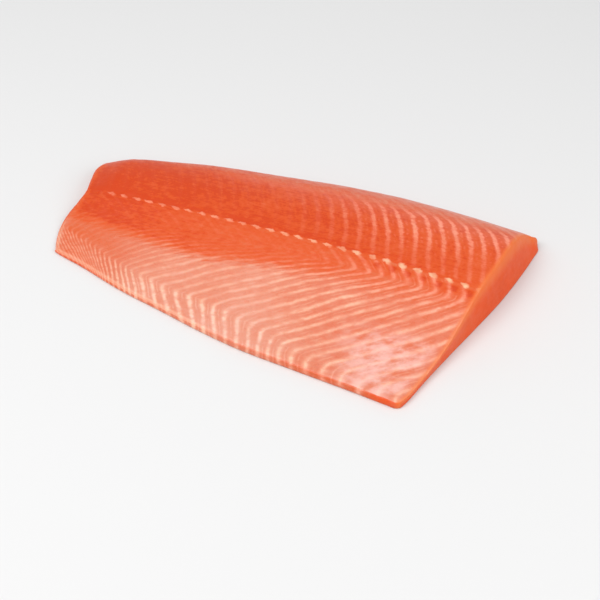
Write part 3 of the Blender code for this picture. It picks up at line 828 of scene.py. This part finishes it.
def write_mesh(name, skin, body):
    """Write the fine mesh with its attributes, and return the object."""
    places = np.concatenate(skin.places)
    centre = 0.5 * (places[:, :2].min(axis=0) + places[:, :2].max(axis=0))
    mesh = bpy.data.meshes.new(name)
    coords = (places - np.array([centre[0], centre[1], 0.0])) * MM
    mesh.from_pydata(coords.tolist(), [], skin.faces)
    along, across = places[:, 0], places[:, 1]
    values = read_pattern(along, across)
    values.update(zone_values(body, along, across, values))
    values["along"] = along
    values["across"] = across
    for attribute, kept in skin.values.items():
        values[attribute] = np.concatenate(kept)
    for attribute, numbers in values.items():
        made = mesh.attributes.new(attribute, "FLOAT", "POINT")
        made.data.foreach_set("value", np.asarray(numbers, np.float32))
    mesh.shade_smooth()
    item = bpy.data.objects.new(name, mesh)
    bpy.context.scene.collection.objects.link(item)
    return item


def linear(colour):
    """A colour given as 8-bit display values, as the linear values that a shader takes."""
    share = np.array(colour) / 255.0
    value = np.where(share <= 0.04045, share / 12.92, ((share + 0.055) / 1.055) ** 2.4)
    return (*[float(x) for x in value], 1.0)


class Graph:
    """Short ways to add shader nodes to a material, with its values known by name."""

    def __init__(self, name):
        self.material = bpy.data.materials.new(name)
        self.material.use_nodes = True
        self.nodes = self.material.node_tree.nodes
        self.links = self.material.node_tree.links
        self.shader = self.nodes["Principled BSDF"]
        self.coordinates = self.nodes.new("ShaderNodeTexCoord").outputs["Object"]
        self.known = {}

    def put(self, socket, value):
        """Set a socket to a value, or link it to another socket."""
        if isinstance(value, bpy.types.NodeSocket):
            self.links.new(value, socket)
        else:
            socket.default_value = value

    def read(self, name):
        """A value by name: one kept before, a noise, or else one that the mesh holds."""
        if name in NOISES and name not in self.known:
            self.known[name] = self.noise(*NOISES[name])
        if name not in self.known:
            node = self.nodes.new("ShaderNodeAttribute")
            node.attribute_name = name
            self.known[name] = node.outputs["Fac"]
        return self.known[name]

    def keep(self, name, value):
        """Keep a value under a name, and return it."""
        self.known[name] = value
        return value

    def math(self, operation, first, second=0.0, clamp=False):
        """One arithmetic step."""
        node = self.nodes.new("ShaderNodeMath")
        node.operation = operation
        node.use_clamp = clamp
        for socket, value in zip(node.inputs, (first, second)):
            self.put(socket, value)
        return node.outputs[0]

    def add(self, *values):
        """Sum of values."""
        total = values[0]
        for value in values[1:]:
            total = self.math("ADD", total, value)
        return total

    def times(self, *values):
        """Product of values."""
        total = values[0]
        for value in values[1:]:
            total = self.math("MULTIPLY", total, value)
        return total

    def rest(self, value):
        """What is left of 1 after a value."""
        return self.math("SUBTRACT", 1.0, value)

    def between(self, share, first, second):
        """A value that goes from the first to the second as the share goes from 0 to 1."""
        return self.add(first, self.times(share, self.math("SUBTRACT", second, first)))

    def fade(self, value, low, high, start=0.0, end=1.0):
        """A smooth step of a value, from start at low to end at high."""
        node = self.nodes.new("ShaderNodeMapRange")
        node.interpolation_type = "SMOOTHSTEP"
        names = ("Value", "From Min", "From Max", "To Min", "To Max")
        for name, given in zip(names, (value, low, high, start, end)):
            self.put(node.inputs[name], given)
        return node.outputs["Result"]

    def place(self, steps):
        """How far a spot belongs to a place: a value by name, or a product of values and smooth steps."""
        if isinstance(steps, str):
            return self.read(steps)
        factors = []
        for step in steps:
            name, *ends = (step,) if isinstance(step, str) else step
            factors.append(self.fade(self.read(name), *ends) if ends else self.read(name))
        return self.times(*factors)

    def total(self, parts):
        """Sum of places by their shares."""
        return self.add(*[self.times(self.place(steps), share) for share, steps in parts])

    def noise(self, along, across, turn, detail, roughness, shift):
        """Noise from 0 to 1, with about one hill in each length of its sizes, turned in plan."""
        mapping = self.nodes.new("ShaderNodeMapping")
        mapping.vector_type = "TEXTURE"
        mapping.inputs["Location"].default_value = (shift, shift, 0.0)
        mapping.inputs["Rotation"].default_value = (0.0, 0.0, math.radians(turn))
        mapping.inputs["Scale"].default_value = (along * MM, across * MM, across * MM)
        self.links.new(self.coordinates, mapping.inputs["Vector"])
        node = self.nodes.new("ShaderNodeTexNoise")
        node.inputs["Scale"].default_value = 1.0
        node.inputs["Detail"].default_value = detail
        node.inputs["Roughness"].default_value = roughness
        self.links.new(mapping.outputs["Vector"], node.inputs["Vector"])
        return node.outputs["Fac"]

    def swing(self, *parts):
        """Sum of noises by name and reach, each swinging about zero by half of its reach to each side."""
        centred = [(self.math("SUBTRACT", self.read(name), 0.5), reach) for name, reach in parts]
        return self.add(*[self.times(noise, reach) for noise, reach in centred])

    def mix(self, share, first, second):
        """A colour between two."""
        node = self.nodes.new("ShaderNodeMix")
        node.data_type = "RGBA"
        for index, value in zip(MIX_INPUTS, (share, first, second)):
            self.put(node.inputs[index], value)
        return node.outputs[MIX_OUTPUT]

    def ramp(self, value, stops):
        """A colour read from stops of (place, colour)."""
        node = self.nodes.new("ShaderNodeValToRGB")
        elements = node.color_ramp.elements
        for element, (place, colour) in zip(elements, (stops[0], stops[-1])):
            element.position = place
            element.color = linear(colour)
        for place, colour in stops[1:-1]:
            elements.new(place).color = linear(colour)
        self.put(node.inputs["Fac"], value)
        return node.outputs["Color"]

    def from_whole(self, number, shift=0.5):
        """How far a number is past the nearest whole one, or the nearest half if there is no shift."""
        part = self.math("FRACT", self.math("ADD", number, ABOVE_ZERO + shift))
        return self.math("SUBTRACT", part, 0.5)

    def line_distance(self, number, spacing):
        """How far a place is from the nearest whole number's line, in millimetres."""
        return self.times(self.math("ABSOLUTE", self.from_whole(number)), spacing)


def loin_lines(g):
    """Pale lines of the loin, a little zigzag and broken, from 0 to 1."""
    step = g.read("loin_step")
    number = g.add(g.read("loin_line"), g.swing(*LOIN_STRAY))
    broken = g.read("loin_breaks")
    soft = g.fade(g.line_distance(number, 1.0), *LOIN_SOFT)
    core = g.times(g.fade(g.line_distance(number, step), *LOIN_CORE), g.fade(broken, *LOIN_BREAKS))
    between = g.line_distance(g.add(number, LOIN_SECOND_PLACE), step)
    second = g.times(g.fade(between, *LOIN_SECOND), g.fade(broken, *LOIN_SECOND_BREAKS))
    line = g.math("ADD", g.times(soft, LOIN_SOFT_SHARE), g.times(core, LOIN_CORE_SHARE), clamp=True)
    return g.times(g.math("MAXIMUM", line, second), g.place(LOIN_LINES))


def belly_lines(g):
    """Pale lines of the belly with fainter ones between them, from 0 to 1."""
    step = g.read("belly_step")
    number = g.add(g.read("belly_line"), g.swing(*BELLY_STRAY))
    thick = g.read("belly_width")
    soft = g.fade(g.line_distance(number, 1.0), BELLY_SOFT_START, g.fade(thick, *BELLY_SOFT_END), 1.0, 0.0)
    core = g.fade(g.line_distance(number, step), BELLY_CORE_START, g.fade(step, *BELLY_CORE_END), 1.0, 0.0)
    line = g.math("ADD", g.times(soft, BELLY_SOFT_SHARE), g.times(core, BELLY_CORE_SHARE), clamp=True)
    beads = g.fade(g.read("belly_beads"), *BELLY_BEADS)
    between = g.line_distance(g.add(number, BELLY_SECOND_PLACE), step)
    second = g.times(g.fade(between, *BELLY_SECOND), g.fade(thick, *BELLY_SECOND_BRIGHT),
                     g.fade(step, *BELLY_SECOND_ROOM))
    return g.times(g.math("MAXIMUM", g.times(line, beads), second), g.place(BELLY_LINES))


def pin_marks(g):
    """Pale marks of the pin bones in a row, dashes at the tail and rounder toward the cut, from 0 to 1."""
    beside = g.add(g.times(g.from_whole(g.read("mark")), MARK_STEP), g.swing(MARK_BESIDE))
    to_head = g.place(TOWARD_HEAD)
    # A mark grows thicker toward its head end, and rises a little toward the tail
    over = g.add(g.read("from_pin"), g.times(beside, MARK_RISE), g.swing(MARK_OVER))
    width = g.add(g.fade(beside, *MARK_WIDTH), g.times(to_head, WIDER_AT_HEAD))
    length = g.fade(to_head, 0.0, 1.0, *MARK_LENGTH)
    lengthwise = g.math("DIVIDE", beside, length)
    crosswise = g.math("DIVIDE", over, width)
    away = g.add(g.times(lengthwise, lengthwise), g.times(crosswise, crosswise))
    faintest = g.fade(to_head, 0.0, 1.0, *MARK_FAINTEST)
    bright = g.fade(g.read("mark_bright"), *MARK_BRIGHT, faintest, 1.0)
    return g.times(g.fade(away, *MARK_EDGE), bright, g.place(MARKS))


def keep_zones(g):
    """Keep by name how far a spot belongs to the belly, to the cut face and to the painted highlight band
    along the cut's top edge.
    """
    g.keep("top", g.rest(g.read("face")))
    g.keep("not_under", g.rest(g.read("under")))
    # The pale belly starts in streaks below the strip, and its lines reach a little higher
    blur = g.fade(g.read("along"), *BELLY_BLUR)
    start = g.times(blur, BLUR_START)
    reached = g.keep("reached", g.add(g.read("below_strip"), g.swing(BELLY_REACH)))
    belly = g.keep("belly", g.fade(reached, start, blur))
    g.keep("not_belly", g.rest(belly))
    g.keep("lined", g.fade(g.add(reached, LINES_AHEAD), start, blur))
    g.keep("on_cut", g.place(CUT_FACE))
    # Painted highlight along the cut's top edge, on the top face and down the cut face
    highlight_band_start = g.fade(g.read("across"), *HIGHLIGHT_BAND_START)
    g.keep("band", g.times(g.place(HIGHLIGHT_BAND_TOP), g.fade(g.read("to_cut"), highlight_band_start, HIGHLIGHT_BAND_FULL)))
    g.keep("mark_gap", g.times(g.math("ABSOLUTE", g.from_whole(g.read("mark"), 0.0)), MARK_STEP))
    g.keep("from_spots", g.math("ABSOLUTE", g.add(g.read("from_pin"), SPOTS_BELOW_PIN)))


def flesh_tone(g):
    """Tone of the flesh, from deep orange at 0 to palest at 1: zones, clouded, with fibres and streaks."""
    tone = g.between(g.read("belly"), g.read("pale_above"), g.read("pale_below"))
    streaked = g.math("MAXIMUM", g.times(g.read("shoulder"), SHOULDER_STREAKS),
                      g.fade(g.read("from_pin"), *LOIN_STREAKS))
    tone = g.add(tone, g.swing(*ALL_OVER), g.times(g.swing(*OFF_BELLY), g.read("not_belly")),
                 g.times(g.swing(STREAKS), streaked))
    # The tone changes add painted shade over the pin-bone marks and a painted highlight along the cut's top
    # edge
    return g.math("ADD", tone, g.total(TONE_CHANGES), clamp=True)


def flake_lines(g):
    """Pale lines between the flakes, from 0 to 1, worn in places, fainter on the cut and under the painted
    highlight along its top edge.
    """
    lines = g.math("MAXIMUM", loin_lines(g), belly_lines(g))
    shown = g.between(g.read("lined"), g.read("lines_above"), g.read("lines_below"))
    on_cut = g.fade(g.read("on_cut"), *CUT_LINES, 1.0, g.fade(g.read("across"), *CUT_LINES_LEFT))
    return g.times(lines, shown, on_cut, g.place(LINES_LEFT))


def flesh_colour(g):
    """Colour of the flesh with its lines and marks, then the belly's painted sheen, the cream line, the cut,
    and the painted highlight along the cut's top edge.
    """
    tone = flesh_tone(g)
    colour = g.mix(g.read("lines"), g.ramp(tone, GROUND_COLOURS), g.ramp(tone, LINE_COLOURS))
    mark_colour = g.ramp(g.fade(g.read("along"), *MARK_COLOURS_REACH), MARK_COLOURS)
    colour = g.mix(g.times(g.read("marks"), MARK_SHARE), colour, mark_colour)
    for share, steps, layer in COLOUR_LAYERS:
        colour = g.mix(g.times(g.place(steps), share), colour, linear(layer))
    return colour


def flesh_material():
    """Wet raw flesh: deep orange loin, paler belly, and pale lines between the flakes."""
    g = Graph("salmon_flesh")
    keep_zones(g)
    g.keep("lines", flake_lines(g))
    g.keep("marks", pin_marks(g))
    g.put(g.shader.inputs["Base Color"], flesh_colour(g))
    g.put(g.shader.inputs["Roughness"], g.total(ROUGHNESS))
    bump = g.nodes.new("ShaderNodeBump")
    bump.inputs["Strength"].default_value = BUMP_STRENGTH
    bump.inputs["Distance"].default_value = BUMP_DISTANCE
    g.put(bump.inputs["Height"], g.total(BUMPS))
    g.put(g.shader.inputs["Normal"], bump.outputs["Normal"])
    for name, value in WET_SURFACE.items():
        g.shader.inputs[name].default_value = value
    return g.material


def floor_material():
    """Plain pale floor."""
    g = Graph("pale_floor")
    g.shader.inputs["Base Color"].default_value = FLOOR_COLOUR
    g.shader.inputs["Roughness"].default_value = FLOOR_ROUGHNESS
    return g.material


def add_area_light(name, place, size, power):
    """A soft square lamp that looks at the fillet."""
    light = bpy.data.lights.new(name, "AREA")
    light.shape = "SQUARE"
    light.size = size
    light.energy = power
    item = bpy.data.objects.new(name, light)
    item.location = place
    item.rotation_euler = (-Vector(place)).to_track_quat("-Z", "Y").to_euler()
    bpy.context.scene.collection.objects.link(item)


def add_camera():
    """The camera, at the photograph's viewing angle."""
    back = Vector(CAMERA_BACK)
    data = bpy.data.cameras.new("camera")
    data.lens = CAMERA_LENS
    data.sensor_width = CAMERA_SENSOR
    item = bpy.data.objects.new("camera", data)
    item.location = Vector(CAMERA_TARGET) + back * CAMERA_DISTANCE
    item.rotation_euler = back.to_track_quat("Z", "Y").to_euler()
    bpy.context.scene.collection.objects.link(item)
    bpy.context.scene.camera = item


def add_floor():
    """The floor that the fillet lies on."""
    mesh = bpy.data.meshes.new("floor")
    corners = [(x * FLOOR_REACH, y * FLOOR_REACH, 0) for x, y in ((-1, -1), (1, -1), (1, 1), (-1, 1))]
    mesh.from_pydata(corners, [], [(0, 1, 2, 3)])
    mesh.materials.append(floor_material())
    item = bpy.data.objects.new("floor", mesh)
    item.location = (0.0, 0.0, -FLOOR_DROP)
    bpy.context.scene.collection.objects.link(item)


def add_world():
    """Even pale light from all round."""
    world = bpy.data.worlds.new("studio")
    world.use_nodes = True
    world.node_tree.nodes["Background"].inputs["Color"].default_value = (1.0, 1.0, 1.0, 1.0)
    world.node_tree.nodes["Background"].inputs["Strength"].default_value = WORLD_STRENGTH
    bpy.context.scene.world = world


body_form = Body()
fillet = write_mesh("salmon_fillet", build_skin(body_form), body_form)
fillet.data.materials.append(flesh_material())
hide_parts("fillet")
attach(fillet, "root")

add_floor()
add_world()
for lamp in LAMPS:
    add_area_light(*lamp)
add_camera()
bpy.context.scene.view_settings.view_transform = "Standard"
